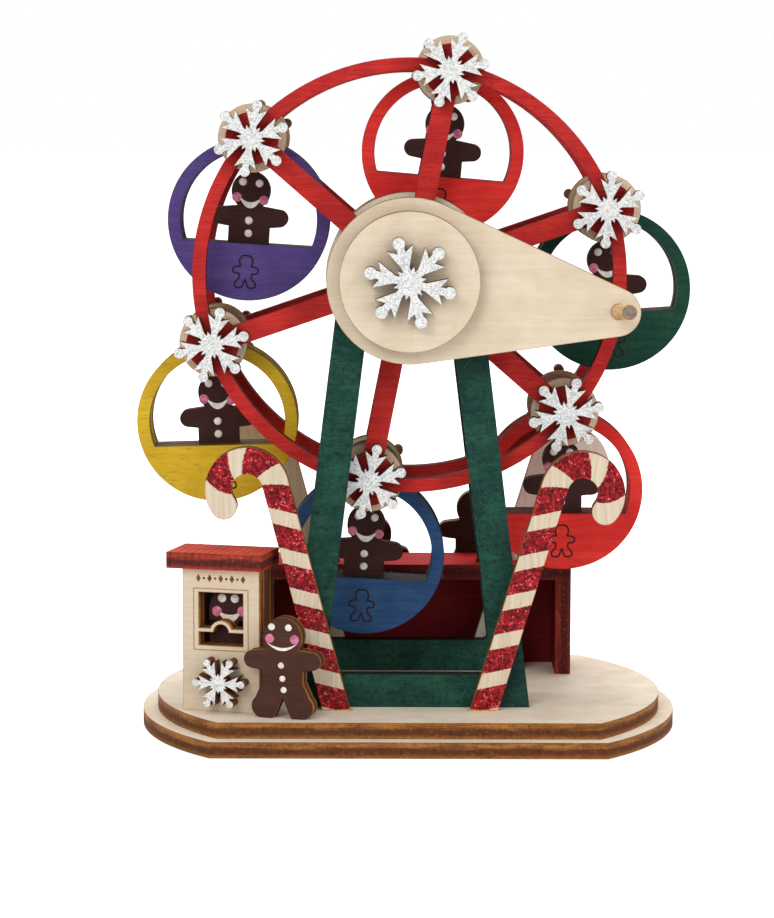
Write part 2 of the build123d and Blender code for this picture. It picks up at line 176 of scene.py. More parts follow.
def newGroup(name, inputs, outputs):
    # an input is given as its default number, or as the kind of its socket
    group = bpy.data.node_groups.new(name, "ShaderNodeTree")
    for socketName, value in inputs.items():
        kind = value if isinstance(value, str) else "Float"
        socket = group.interface.new_socket(name=socketName, in_out="INPUT", socket_type="NodeSocket" + kind)
        if kind != value:
            socket.default_value = value
    for socketName, kind in outputs.items():
        group.interface.new_socket(name=socketName, in_out="OUTPUT", socket_type="NodeSocket" + kind)
    return group, group.nodes.new("NodeGroupInput").outputs, group.nodes.new("NodeGroupOutput").inputs


def addGroup(tree, group, values=None, **links):
    node = tree.nodes.new("ShaderNodeGroup")
    node.node_tree = group
    for name, value in (values or {}).items():
        node.inputs[name].default_value = value
    for name, source in links.items():
        tree.links.new(source, node.inputs[name])
    return node.outputs


# shared effects. Sheet space: X right, Y up the sheet, Z out of its face
def makeGrainGroup():
    # long streaks of wood grain along X, in millimetres
    group, given, out = newGroup(
        "woodGrain", {"Place": "Vector", "Length": 30.0, "Pitch": 0.5},
        {"Streaks": "Float", "Clouds": "Float", "Pores": "Float"},
    )
    grain = {"wobble": 3.0, "throughSheet": 0.12, "poreStretch": (0.45, 5.0, 0.4)}
    stretch = addNode(group, "ShaderNodeCombineXYZ")
    feed(group, mathNode(group, "DIVIDE", 1.0, given["Length"]), stretch.inputs[0])
    feed(group, mathNode(group, "DIVIDE", 1.0, given["Pitch"]), stretch.inputs[1])
    stretch.inputs[2].default_value = grain["throughSheet"]
    wobble = addTexture(group, "Noise", given["Place"], Scale=0.09, Detail=2.0)["Color"]
    bent = vectorNode(group, "ADD", given["Place"], vectorNode(group, "SCALE", wobble, grain["wobble"]))
    stretched = vectorNode(group, "MULTIPLY", bent, stretch.outputs[0])
    streaks = addTexture(group, "Noise", stretched, Scale=1.0, Detail=5.0, Roughness=0.62)[0]
    feed(group, rampValue(group, streaks, 0.3, 0.7), out["Streaks"])
    clouds = addTexture(group, "Noise", given["Place"], Scale=0.16, Detail=3.0)[0]
    feed(group, rampValue(group, clouds, 0.32, 0.68), out["Clouds"])
    poreSpace = vectorNode(group, "MULTIPLY", bent, grain["poreStretch"])
    pores = addTexture(group, "Noise", poreSpace, Scale=1.0, Detail=1.0)[0]
    feed(group, rampValue(group, pores, 0.62, 0.72), out["Pores"])
    return group


def makeSheetGroup():
    # turns object space to sheet space, and finds the sheet's faces, cut edges and outlines
    group, given, out = newGroup(
        "laserCutSheet", {"Turn": "Vector", "Rim": 0.35},
        {"Place": "Vector", "Face": "Float", "Front": "Float", "Outline": "Float"},
    )
    coordinates = addNode(group, "ShaderNodeTexCoord").outputs
    turned = []
    for vector in (vectorNode(group, "SCALE", coordinates["Object"], 1 / mm), coordinates["Normal"]):
        node = addNode(group, "ShaderNodeVectorRotate", {"rotation_type": "EULER_XYZ"})
        feed(group, vector, node.inputs["Vector"])
        feed(group, given["Turn"], node.inputs["Rotation"])
        turned.append(node.outputs[0])
    place, direction = turned
    feed(group, place, out["Place"])
    facing = splitAxes(group, direction)[2]
    feed(group, rampValue(group, mathNode(group, "ABSOLUTE", facing), 0.55, 0.75), out["Face"])
    feed(group, mathNode(group, "GREATER_THAN", facing, 0.5), out["Front"])
    rounded = addNode(group, "ShaderNodeBevel", {"samples": 6})
    feed(group, times(group, given["Rim"], mm), rounded.inputs["Radius"])
    plainNormal = addNode(group, "ShaderNodeNewGeometry").outputs["Normal"]
    alike = vectorNode(group, "DOT_PRODUCT", rounded.outputs[0], plainNormal)
    feed(group, rampValue(group, oneMinus(group, alike, clamp=True), 0.01, 0.18), out["Outline"])
    return group


def makeCutEdgeGroup():
    # laser-burnt plies on the cut edge, from Start up through Thick: a dark core between golden outer plies
    group, given, out = newGroup(
        "burntCutEdge",
        {"Place": "Vector", "Dark": "Color", "Gold": "Color", "Golden": 0.8, "Start": 0.0, "Thick": sheetThickness},
        {"Color": "Color", "Height": "Float"},
    )
    edge = {"core": 0.42, "wobble": 0.45, "soot": 0.55, "ash": 0.3, "lip": 0.45}
    layers = vectorNode(group, "MULTIPLY", given["Place"], (0.14, 0.14, 1.3))
    bands = addTexture(group, "Noise", layers, Scale=1.0, Detail=4.0, Roughness=0.6)[0]
    fine = addTexture(group, "Noise", given["Place"], Scale=1.3, Detail=4.0, Roughness=0.75)[0]
    fromStart = mathNode(group, "SUBTRACT", splitAxes(group, given["Place"])[2], given["Start"])
    climbed = mathNode(group, "FLOORED_MODULO", fromStart, given["Thick"])
    share = mathNode(group, "DIVIDE", climbed, given["Thick"])
    wobble = times(group, mathNode(group, "SUBTRACT", bands, 0.5), edge["wobble"])
    offCore = mathNode(group, "ADD", mathNode(group, "SUBTRACT", share, edge["core"]), wobble)
    outerPly = rampValue(group, mathNode(group, "ABSOLUTE", offCore), 0.08, 0.42)
    streaks = mathNode(group, "MULTIPLY_ADD", rampValue(group, bands, 0.38, 0.62), 0.55, 0.45)
    golden = times(group, times(group, outerPly, streaks), given["Golden"])
    color = mixColor(group, mathNode(group, "MINIMUM", golden, 1.0), given["Dark"], given["Gold"])
    soot = times(group, rampValue(group, fine, 0.46, 0.72), edge["soot"])
    color = mixColor(group, soot, color, linear(40, 22, 14))
    ash = times(group, rampValue(group, fine, 0.42, 0.3), edge["ash"])
    color = mixColor(group, ash, color, linear(168, 140, 112))
    lip = oneMinus(group, rampValue(group, mathNode(group, "PINGPONG", share, 0.5), 0.0, 0.05))
    color = mixColor(group, times(group, lip, edge["lip"]), color, linear(74, 42, 20))
    feed(group, color, out["Color"])
    feed(group, mathNode(group, "ADD", bands, fine), out["Height"])
    return group


def makeGlitterGroup():
    # close-packed flakes: each has a painted brightness, a painted glint standing in for its reflection, and its own
    # tilt
    group, given, out = newGroup(
        "glitterCoat", {"Place": "Vector", "Flake": 0.4},
        {"PaintedGlint": "Float", "Tint": "Color", "Height": "Float"},
    )
    finer = vectorNode(group, "SCALE", given["Place"], mathNode(group, "DIVIDE", 1.0, given["Flake"]))
    flakes = addTexture(group, "Voronoi", finer, Scale=1.0)["Color"]
    smallFlakes = addTexture(group, "Voronoi", finer, Scale=2.1)["Color"]
    bright, smallBright = splitAxes(group, flakes), splitAxes(group, smallFlakes)
    # painted glint: the brightness of two sizes of flakes mixed into one
    feed(group, times(group, mathNode(group, "ADD", bright[0], smallBright[1]), 0.5), out["PaintedGlint"])
    feed(group, flakes, out["Tint"])
    feed(group, mathNode(group, "ADD", bright[1], times(group, smallBright[2], 0.6)), out["Height"])
    return group


grainGroup = makeGrainGroup()
sheetGroup = makeSheetGroup()
cutEdgeGroup = makeCutEdgeGroup()
glitterGroup = makeGlitterGroup()
print("shared node groups made")


def standingTurn(yaw):
    return tuple((Matrix.Rotation(math.radians(-90), 3, "X") @ Matrix.Rotation(yaw, 3, "Z")).to_euler("XYZ"))


# ways a sheet can lie: the turn that brings it to sheet space
upright = (math.radians(-90), 0, 0)
flat = (0, 0, 0)
boothYaw = math.radians(15)
boothTurn = standingTurn(boothYaw)
sideways = standingTurn(math.radians(90))
boothSideways = standingTurn(math.radians(90) + boothYaw)
boothFlat = (0, 0, boothYaw)


# materials
def newMaterial(name, roughness, specular):
    material = bpy.data.materials.new(name)
    material.use_nodes = True
    shader = material.node_tree.nodes["Principled BSDF"]
    shader.inputs["Roughness"].default_value = roughness
    shader.inputs["Specular IOR Level"].default_value = specular
    return material, material.node_tree, shader


def addBump(tree, shader, height, distance, strength):
    bump = addNode(tree, "ShaderNodeBump", Strength=strength, Distance=distance * mm)
    feed(tree, height, bump.inputs["Height"])
    feed(tree, bump.outputs[0], shader.inputs["Normal"])


def feedRoughness(tree, shader, mask, bare, coated):
    roughness = addNode(tree, "ShaderNodeMapRange")
    roughness.inputs["To Min"].default_value = bare
    roughness.inputs["To Max"].default_value = coated
    feed(tree, mask, roughness.inputs["Value"])
    feed(tree, roughness.outputs[0], shader.inputs["Roughness"])


burntEdge = {"edgeDark": linear(98, 54, 28), "edgeGold": linear(180, 120, 58), "golden": 0.9}


def addCutEdge(tree, sheet, plies, look):
    # the burnt edge of one sheet, its plies lying from plies["start"] up
    look = {**burntEdge, **look}
    values = {
        "Dark": look["edgeDark"] + (1,), "Gold": look["edgeGold"] + (1,), "Golden": look["golden"],
        "Start": plies["start"], "Thick": plies["thick"],
    }
    return addGroup(tree, cutEdgeGroup, values, Place=sheet["Place"])


# what a sheet takes where its own look gives nothing else
plainSheet = {
    "turn": upright, "length": 26.0, "pitch": 0.8, "streaks": 0.6, "clouds": 0.4, "pores": 0.35,
    "rim": 0.35, "rimStrength": 0.8, "bump": 0.35,
}


def addFlecks(tree, place, look, color):
    # worn specks and a light haze between them
    spots = addTexture(tree, "Noise", place, Scale=1.1, Detail=7.0, Roughness=0.82)[0]
    flecks = times(tree, rampValue(tree, spots, 0.5, 0.62), look["flecks"])
    color = mixColor(tree, flecks, color, look["pore"])
    haze = times(tree, rampValue(tree, spots, 0.46, 0.36), look["flecks"] * 0.5)
    return mixColor(tree, haze, color, look["light"])


def addDust(tree, place, look, color):
    # pale dots that gather in drifts
    dots = addTexture(tree, "Voronoi", place, Scale=1.3)["Distance"]
    drift = addTexture(tree, "Noise", place, Scale=0.11, Detail=2.0)[0]
    dust = times(tree, oneMinus(tree, rampValue(tree, dots, 0.06, 0.13)), rampValue(tree, drift, 0.52, 0.66))
    return mixColor(tree, times(tree, dust, look["dust"]), color, linear(200, 205, 200))


def paintedSheet(name, look, plies):
    # plywood with a coloured or bare face, grain streaks, burnt outlines and burnt cut edges
    material, tree, shader = newMaterial(name, 0.62, 0.12)
    sheet = addGroup(tree, sheetGroup, {"Turn": look["turn"], "Rim": look["rim"]})
    grain = addGroup(tree, grainGroup, {"Length": look["length"], "Pitch": look["pitch"]}, Place=sheet["Place"])
    streaks = times(tree, grain["Streaks"], look["streaks"])
    color = mixColor(tree, streaks, look["color"], look["light"])
    color = mixColor(tree, times(tree, grain["Clouds"], look["clouds"]), color, look["dark"])
    color = mixColor(tree, times(tree, grain["Pores"], look["pores"]), color, look["pore"])
    if "back" in look:
        backTone = mixColor(tree, streaks, look["back"], look["backLight"])
        color = mixColor(tree, sheet["Front"], backTone, color)
    color = mixColor(tree, times(tree, sheet["Outline"], look["rimStrength"]), color, look["rimColor"])
    if "flecks" in look:
        color = addFlecks(tree, sheet["Place"], look, color)
    if "dust" in look:
        color = addDust(tree, sheet["Place"], look, color)
    edge = addCutEdge(tree, sheet, plies, look)
    feed(tree, mixColor(tree, sheet["Face"], edge["Color"], color), shader.inputs["Base Color"])
    addBump(tree, shader, mixColor(tree, sheet["Face"], edge["Height"], grain["Streaks"]), 0.12, look["bump"])
    return material


# colours in the looks are as seen on a screen, 0 to 255
bareLook = {
    "color": (218, 202, 177), "light": (228, 214, 191), "dark": (206, 187, 158),
    "pore": (190, 165, 130), "pores": 0.28, "streaks": 0.8, "clouds": 0.5, "length": 34.0, "pitch": 1.0,
    "rim": 0.32, "rimStrength": 0.9, "rimColor": (134, 90, 50), "bump": 0.3,
}
looks = {
    "bareUpright": bareLook,
    "bareCap": {**bareLook, "rim": 0.5, "rimColor": (112, 72, 40)},
    # base plates: a lighter copy of the bare plywood, painted light on their lit tops
    "bareFlatPaintedLight": {
        **bareLook, "turn": flat, "color": (241, 227, 205), "light": (248, 238, 221),
        "dark": (224, 204, 178), "pore": (206, 180, 148), "rimStrength": 0.5,
    },
    "bareBooth": {
        **bareLook, "turn": boothTurn, "color": (210, 193, 168), "light": (221, 206, 182),
        "edgeDark": (112, 66, 32), "edgeGold": (204, 138, 64), "golden": 1.1,
    },
    # the back wall's inner face is dark brown painted shade inside the booth; its rear face keeps bare plywood
    "boothBackPaintedShade": {
        **bareLook, "turn": boothTurn, "back": (214, 196, 166), "backLight": (226, 210, 184),
        "color": (52, 32, 24), "light": (66, 42, 30), "dark": (38, 22, 17), "pore": (30, 18, 14),
    },
    # front spacer discs: a lighter copy of the bare plywood, painted light where they sit in the ring's shade
    "spacerDiscPaintedLight": {
        **bareLook, "color": (232, 205, 174), "light": (240, 218, 190), "dark": (220, 188, 154),
    },
    "shadedDisc": {
        **bareLook, "color": (196, 168, 130), "light": (208, 183, 148), "dark": (180, 148, 110),
    },
    "redRing": {
        "color": (184, 36, 34), "light": (216, 62, 54), "dark": (132, 20, 24), "pore": (98, 12, 16),
        "rimColor": (96, 20, 18), "edgeDark": (94, 16, 18), "edgeGold": (146, 36, 28), "golden": 0.7,
        "length": 14.0, "pitch": 0.6, "rim": 0.22, "rimStrength": 0.6, "pores": 0.5,
    },
    "redCabin": {
        "color": (214, 42, 40), "light": (230, 66, 54), "dark": (180, 28, 30), "pore": (138, 16, 20),
        "rimColor": (112, 24, 20), "edgeDark": (84, 24, 20), "edgeGold": (146, 52, 34), "golden": 0.6,
    },
    "greenFrame": {
        "color": (24, 64, 54), "light": (42, 90, 70), "dark": (16, 44, 44), "pore": (10, 26, 32),
        "rimColor": (20, 28, 22), "edgeDark": (24, 30, 22), "edgeGold": (48, 58, 34), "golden": 0.6,
        "length": 6.0, "pitch": 1.1, "clouds": 0.6, "streaks": 0.7, "pores": 0.6, "rim": 0.25, "dust": 0.4,
        "flecks": 0.75,
    },
    "greenCabin": {
        "color": (20, 62, 48), "light": (36, 82, 60), "dark": (10, 42, 36), "pore": (10, 32, 30),
        "rimColor": (24, 34, 24), "edgeDark": (40, 36, 26), "edgeGold": (84, 76, 46), "golden": 0.6,
        "flecks": 0.4,
    },
    "purpleCabin": {
        "color": (84, 66, 128), "light": (100, 82, 144), "dark": (66, 50, 106), "pore": (50, 38, 84),
        "rimColor": (44, 34, 62), "edgeDark": (52, 40, 52), "edgeGold": (104, 84, 92), "golden": 0.6,
    },
    "yellowCabin": {
        "color": (205, 168, 34), "light": (220, 186, 56), "dark": (178, 138, 26), "pore": (142, 104, 22),
        "rimColor": (116, 86, 28), "edgeDark": (96, 70, 30), "edgeGold": (172, 138, 46), "golden": 0.8,
        "pores": 0.5,
    },
    "blueCabin": {
        "color": (42, 74, 116), "light": (60, 96, 138), "dark": (28, 54, 90), "pore": (20, 38, 68),
        "rimColor": (24, 36, 52), "edgeDark": (36, 44, 50), "edgeGold": (80, 92, 90), "golden": 0.6,
    },
    "darkRider": {
        "color": (60, 34, 31), "light": (72, 43, 38), "dark": (48, 25, 24), "pore": (34, 17, 17),
        "rimColor": (30, 17, 15), "edgeDark": (60, 36, 24), "edgeGold": (126, 86, 50), "golden": 0.7,
        "length": 20.0, "pitch": 0.5,
    },
    "brownStander": {
        "turn": boothTurn,
        "color": (72, 44, 34), "light": (86, 55, 43), "dark": (56, 33, 26), "pore": (42, 24, 19),
        "rimColor": (50, 30, 20), "edgeDark": (78, 46, 26), "edgeGold": (178, 124, 66), "golden": 1.0,
        "length": 20.0, "pitch": 0.5,
    },
    "brownWaiting": {
        "color": (58, 34, 28), "light": (72, 43, 35), "dark": (44, 25, 21), "pore": (32, 18, 16),
        "rimColor": (38, 22, 17), "edgeDark": (100, 66, 42), "edgeGold": (188, 146, 92), "golden": 0.9,
        "length": 20.0, "pitch": 0.5,
    },
    # the platform's sides and wall: its red paint darkened as painted shade
    "redSidePaintedShade": {
        "turn": sideways,
        "color": (112, 20, 26), "light": (136, 30, 34), "dark": (84, 14, 20), "pore": (60, 10, 16),
        "rimColor": (56, 16, 16), "edgeDark": (78, 20, 20), "edgeGold": (146, 46, 36), "golden": 0.8,
    },
    "boothSideBrown": {
        "turn": boothSideways,
        "color": (92, 56, 36), "light": (112, 70, 44), "dark": (72, 42, 28), "pore": (48, 28, 20),
        "rimColor": (44, 26, 18), "edgeDark": (70, 40, 24), "edgeGold": (150, 96, 48), "golden": 0.8,
    },
}
looks["redWallPaintedShade"] = {**looks["redSidePaintedShade"], "turn": upright}
looks["darkRedStep"] = {**looks["redWallPaintedShade"], "color": (132, 22, 30), "light": (158, 34, 40)}
looks["redDeck"] = {
    **looks["redCabin"], "turn": flat, "color": (192, 32, 34), "light": (214, 50, 46), "length": 30.0,
    "edgeDark": (70, 20, 20), "edgeGold": (136, 34, 28),
}
for look in looks.values():
    look.update({key: linear(*value) for key, value in look.items() if isinstance(value, tuple) and key != "turn"})


def findPlies(name, turn):
    # where a node's sheet starts and ends in sheet space, along its own thickness
    turnMatrix = Euler(turn, "XYZ").to_matrix()
    depths = [(turnMatrix @ corner.co).z / mm for corner in nodes[name].data.vertices]
    return {"start": min(depths), "thick": min(max(depths) - min(depths), sheetThickness)}


print("looks listed")


roofLook = {
    "pitch": 1.5, "groove": 0.2, "red": linear(242, 84, 62), "light": linear(250, 106, 80),
    "dark": linear(150, 32, 30), "lip": linear(170, 50, 44),
    "edgeDark": linear(88, 30, 28), "edgeGold": linear(176, 64, 42), "golden": 1.0,
}


def roofMaterial(name, look, plies):
    # bright red roof with fine scored lines from front to back
    material, tree, shader = newMaterial(name, 0.6, 0.15)
    sheet = addGroup(tree, sheetGroup, {"Turn": boothFlat, "Rim": 0.3})
    grain = addGroup(tree, grainGroup, {"Length": 8.0, "Pitch": 0.9}, Place=sheet["Place"])
    axes = splitAxes(tree, sheet["Place"])
    phase = mathNode(tree, "PINGPONG", axes[0], look["pitch"] / 2)
    groove = oneMinus(tree, rampValue(tree, phase, 0.04, look["groove"]))
    color = mixColor(tree, times(tree, grain["Streaks"], 0.7), look["red"], look["light"])
    for mask, strength in ((grain["Clouds"], 0.35), (groove, 0.65), (sheet["Outline"], 0.5)):
        color = mixColor(tree, times(tree, mask, strength), color, look["dark"])
    edge = addCutEdge(tree, sheet, plies, look)
    # the cut edge keeps a thin red lip below
    lip = oneMinus(tree, rampValue(tree, mathNode(tree, "SUBTRACT", axes[2], plies["start"]), 0.2, 0.4))
    edgeColor = mixColor(tree, times(tree, lip, 0.7), edge["Color"], look["lip"])
    feed(tree, mixColor(tree, sheet["Face"], edgeColor, color), shader.inputs["Base Color"])
    addBump(tree, shader, oneMinus(tree, groove), 0.25, 0.7)
    return material


def glitterSide(tree, sheet, facing):
    # the side that is glittered: the front where facing is 1, the back where it is -1
    return sheet["Front"] if facing > 0 else oneMinus(tree, sheet["Front"])


def glitterMaterial(name, look, plies):
    # glitter with painted glints on the outer face of a sheet, burnt plywood on its sides, bare plywood behind
    material, tree, shader = newMaterial(name, 0.4, 0.4)
    sheet = addGroup(tree, sheetGroup, {"Turn": look["turn"], "Rim": 0.22})
    glitter = addGroup(tree, glitterGroup, {"Flake": look["flake"]}, Place=sheet["Place"])
    # painted glints: each flake's colour lies between the look's dark and light tones by its painted glint
    color = mixColor(tree, rampValue(tree, glitter["PaintedGlint"], 0.2, 0.7), look["dark"], look["light"])
    color = mixColor(tree, look["tint"], color, glitter["Tint"], "SOFT_LIGHT")
    grain = addGroup(tree, grainGroup, Place=sheet["Place"])
    wood = mixColor(tree, grain["Streaks"], linear(112, 80, 54), linear(138, 102, 70))
    outer = glitterSide(tree, sheet, look["facing"])
    face = mixColor(tree, outer, wood, color)
    # the outline is the burnt laser edge, darkened further by painted contact shade around the flake
    face = mixColor(tree, times(tree, sheet["Outline"], look["rimStrength"]), face, linear(126, 96, 68))
    edge = addCutEdge(tree, sheet, plies, look)
    feed(tree, mixColor(tree, sheet["Face"], edge["Color"], face), shader.inputs["Base Color"])
    onGlitter = times(tree, outer, sheet["Face"])
    feedRoughness(tree, shader, onGlitter, 0.7, 0.28)
    addBump(tree, shader, times(tree, glitter["Height"], onGlitter), look["flake"] * 0.4, 0.4)
    return material


# bands of a cane, in millimetres up its middle line from the foot
caneShape = {
    "base": 6.4, "leg": 46.9, "bend": 5.65, "slant": -0.55, "period": 8.2, "band": 5.0, "start": 0.3, "bare": 64.2,
    "flake": 0.55, "golden": 1.0, "edgeDark": linear(96, 58, 34), "edgeGold": linear(196, 142, 76),
}
canes = {
    "left": {**caneShape, "foot": -14.3, "lean": -14.8, "side": -1, "hookBand": 0.35, "bendDrift": 0.5, "tipDrift": 0.0},
    "right": {**caneShape, "foot": 14.9, "lean": 17.0, "side": 1, "hookBand": 0.38, "bendDrift": 0.6, "tipDrift": 1.2},
}
caneWoodsAndPaintedLight = {
    "plain": (linear(202, 184, 158), linear(222, 206, 182)),
    # the right rear cane's bare face is a lighter copy of the plain wood, painted light on it
    "right_rear_cane": (linear(236, 222, 204), linear(250, 240, 226)),
}


def turnAboutZ(tree, vector, angle):
    node = addNode(tree, "ShaderNodeVectorRotate", {"rotation_type": "Z_AXIS"}, Angle=math.radians(angle))
    feed(tree, vector, node.inputs["Vector"])
    return node.outputs[0]


def caneBands(tree, place, look):
    # 1 on the bands that slant across the leg and the hook; first x across the leg and y up it from the foot
    fromFoot = vectorNode(tree, "SUBTRACT", place, (look["foot"], look["base"], 0))
    axes = splitAxes(tree, turnAboutZ(tree, fromFoot, look["lean"]))
    across = times(tree, axes[0], look["side"])
    along = axes[1]
    aboveBend = mathNode(tree, "SUBTRACT", along, look["leg"])
    fromMiddle = mathNode(tree, "SUBTRACT", look["bend"], across)
    turned = mathNode(tree, "WRAP", mathNode(tree, "ARCTAN2", aboveBend, fromMiddle), 4.9, -1.3832)
    hookRun = mathNode(tree, "MULTIPLY_ADD", turned, look["bend"], look["leg"])
    pastBend = mathNode(tree, "GREATER_THAN", aboveBend, 0.0)
    onHook = mathNode(tree, "MAXIMUM", pastBend, mathNode(tree, "GREATER_THAN", across, look["bend"]))
    onLeg = oneMinus(tree, onHook)
    run = mathNode(tree, "ADD", times(tree, hookRun, onHook), times(tree, along, onLeg))
    spoke = addNode(tree, "ShaderNodeCombineXYZ")
    feed(tree, aboveBend, spoke.inputs[0])
    feed(tree, fromMiddle, spoke.inputs[1])
    hookAcross = mathNode(tree, "SUBTRACT", look["bend"], vectorNode(tree, "LENGTH", spoke.outputs[0]))
    side = mathNode(tree, "ADD", times(tree, hookAcross, onHook), times(tree, across, onLeg))
    # the bands drift and straighten where the leg turns into the hook, and slant again at its tip
    bendShare = rampValue(tree, run, look["leg"] - 5, look["leg"] + 1)
    tipShare = rampValue(tree, run, look["leg"] + 4, look["leg"] + 16)
    slant = mathNode(tree, "MULTIPLY_ADD", bendShare, -0.65, mathNode(tree, "MULTIPLY_ADD", tipShare, 0.75, 1.0))
    slanted = mathNode(tree, "MULTIPLY_ADD", side, times(tree, slant, look["slant"]), run)
    slanted = mathNode(tree, "MULTIPLY_ADD", bendShare, -look["bendDrift"], slanted)
    slanted = mathNode(tree, "MULTIPLY_ADD", tipShare, -look["tipDrift"], slanted)
    ragged = addTexture(tree, "Noise", place, Scale=2.2, Detail=3.0)[0]
    slanted = mathNode(tree, "MULTIPLY_ADD", ragged, 0.5, slanted)
    fromStart = mathNode(tree, "SUBTRACT", slanted, look["start"])
    phase = mathNode(tree, "FLOORED_MODULO", fromStart, look["period"])
    hookShare = rampValue(tree, slanted, look["leg"], look["leg"] + look["period"])
    bandLength = mathNode(tree, "MULTIPLY_ADD", hookShare, look["hookBand"], look["band"])
    band = rampValue(tree, mathNode(tree, "SUBTRACT", bandLength, phase), -0.06, 0.1)
    band = times(tree, band, rampValue(tree, phase, 0.0, 0.12))
    return times(tree, band, mathNode(tree, "LESS_THAN", slanted, look["bare"]))


def caneMaterial(name, look, plies):
    # bare cane with bands of red glitter, its flakes coloured with painted glints
    material, tree, shader = newMaterial(name, 0.5, 0.2)
    sheet = addGroup(tree, sheetGroup, {"Turn": upright, "Rim": 0.4})
    grain = addGroup(tree, grainGroup, {"Length": 40.0, "Pitch": 0.7}, Place=turnAboutZ(tree, sheet["Place"], 90))
    outer = glitterSide(tree, sheet, look["facing"])
    band = times(tree, caneBands(tree, sheet["Place"], look), times(tree, outer, sheet["Face"]))
    glitter = addGroup(tree, glitterGroup, {"Flake": look["flake"]}, Place=sheet["Place"])
    # painted glints: flakes run from dark to light red, and the brightest get a pale painted glint
    red = mixColor(tree, rampValue(tree, glitter["PaintedGlint"], 0.2, 0.85), linear(74, 4, 12), linear(190, 26, 36))
    glint = times(tree, rampValue(tree, glitter["PaintedGlint"], 0.8, 0.88), 0.65)
    red = mixColor(tree, glint, red, linear(240, 130, 130))
    wood = mixColor(tree, grain["Streaks"], *look["wood"])
    specks = addTexture(tree, "Voronoi", sheet["Place"], Scale=0.55)["Distance"]
    speck = times(tree, oneMinus(tree, rampValue(tree, specks, 0.05, 0.1)), 0.6)
    wood = mixColor(tree, speck, wood, linear(150, 100, 60))
    wood = mixColor(tree, times(tree, sheet["Outline"], 0.8), wood, linear(168, 118, 66))
    color = mixColor(tree, band, wood, red)
    edge = addCutEdge(tree, sheet, plies, look)
    feed(tree, mixColor(tree, sheet["Face"], edge["Color"], color), shader.inputs["Base Color"])
    feedRoughness(tree, shader, band, 0.6, 0.25)
    addBump(tree, shader, times(tree, mathNode(tree, "ADD", glitter["Height"], 1.0), band), 0.2, 0.6)
    return material


def dowelMaterial():
    # light round rod, its end grain grey-brown with a golden ring
    material, tree, shader = newMaterial("dowel", 0.6, 0.3)
    sheet = addGroup(tree, sheetGroup, {"Turn": upright, "Rim": 0.3})
    grain = addGroup(tree, grainGroup, {"Length": 1.2, "Pitch": 0.6}, Place=sheet["Place"])
    long = mixColor(tree, grain["Streaks"], linear(196, 150, 100), linear(226, 188, 140))
    end = mixColor(tree, grain["Streaks"], linear(112, 98, 86), linear(148, 132, 116))
    end = mixColor(tree, times(tree, grain["Pores"], 0.5), end, linear(104, 86, 70))
    end = mixColor(tree, times(tree, sheet["Outline"], 0.95), end, linear(200, 140, 74))
    feed(tree, mixColor(tree, sheet["Face"], long, end), shader.inputs["Base Color"])
    addBump(tree, shader, grain["Streaks"], 0.08, 0.4)
    return material


def paintMaterial(name, color, shade, roughness):
    # thick hand-dabbed paint with a slightly uneven film
    material, tree, shader = newMaterial(name, roughness, 0.45)
    place = addNode(tree, "ShaderNodeTexCoord").outputs["Object"]
    film = addTexture(tree, "Noise", place, Scale=1400.0, Detail=3.0)[0]
    feed(tree, mixColor(tree, rampValue(tree, film, 0.35, 0.65), color, shade), shader.inputs["Base Color"])
    addBump(tree, shader, film, 0.05, 0.3)
    return material


whitePaint = paintMaterial("whitePaint", linear(242, 238, 230), linear(218, 210, 200), 0.4)
pinkPaint = paintMaterial("pinkPaint", linear(216, 122, 150), linear(186, 88, 122), 0.5)
engravedLine = paintMaterial("engravedLine", linear(38, 16, 14), linear(24, 11, 11), 0.85)
signInk = paintMaterial("signInk", linear(124, 74, 36), linear(84, 46, 24), 0.8)
thinLine = paintMaterial("thinLine", linear(176, 140, 92), linear(152, 114, 70), 0.8)
glueSpot = paintMaterial("glueSpot", linear(214, 168, 84), linear(190, 140, 60), 0.25)

# white glitter: its light and dark tones are the painted glints of its flakes
whiteGlitter = {
    "light": linear(238, 238, 235), "dark": linear(186, 188, 190), "tint": 0.14, "flake": 0.32,
    "turn": upright, "facing": 1, "rimStrength": 0.65, "golden": 0.5,
}
print("special materials made")


def dress(name, material):
    data = nodes[name].data
    data.materials.clear()
    data.materials.append(material)


def dressSheet(name, lookName):
    look = {**plainSheet, **looks[lookName]}
    dress(name, paintedSheet(f"{name}Ply", look, findPlies(name, look["turn"])))


dressing = {
    "bareFlatPaintedLight": ["base_lower_plate", "base_upper_plate"],
    "greenFrame": ["front_a_frame", "rear_a_frame"],
    "redRing": ["front_ring", "rear_ring"],
    "bareUpright": ["front_hub_disc", "crank_spacer", "crank_plate"],
    "bareCap": ["crank_cap", "rear_end_cap"],
    "spacerDiscPaintedLight": ["front_spacers"],
    "shadedDisc": ["rear_hub_disc", "rear_spacers"],
    "bareBooth": ["booth_front_wall"],
    "boothBackPaintedShade": ["booth_back_wall"],
    "boothSideBrown": ["booth_left_wall", "booth_right_wall"],
    "brownStander": ["standing_gingerbread"],
    "brownWaiting": ["upper_waiting_gingerbread", "lower_waiting_gingerbread"],
    "redDeck": ["deck_front_board", "deck_rear_board"],
    "redSidePaintedShade": ["platform_left_side", "platform_right_side"],
    "redWallPaintedShade": ["platform_wall"],
    "darkRedStep": ["boarding_steps"],
}
for lookName, names in dressing.items():
    for nodeName in names:
        dressSheet(nodeName, lookName)
cabinColors = {
    "green_cabin": "greenCabin", "red_cabin": "redCabin", "purple_cabin": "purpleCabin",
    "yellow_cabin": "yellowCabin", "blue_cabin": "blueCabin", "scarlet_cabin": "redCabin",
}
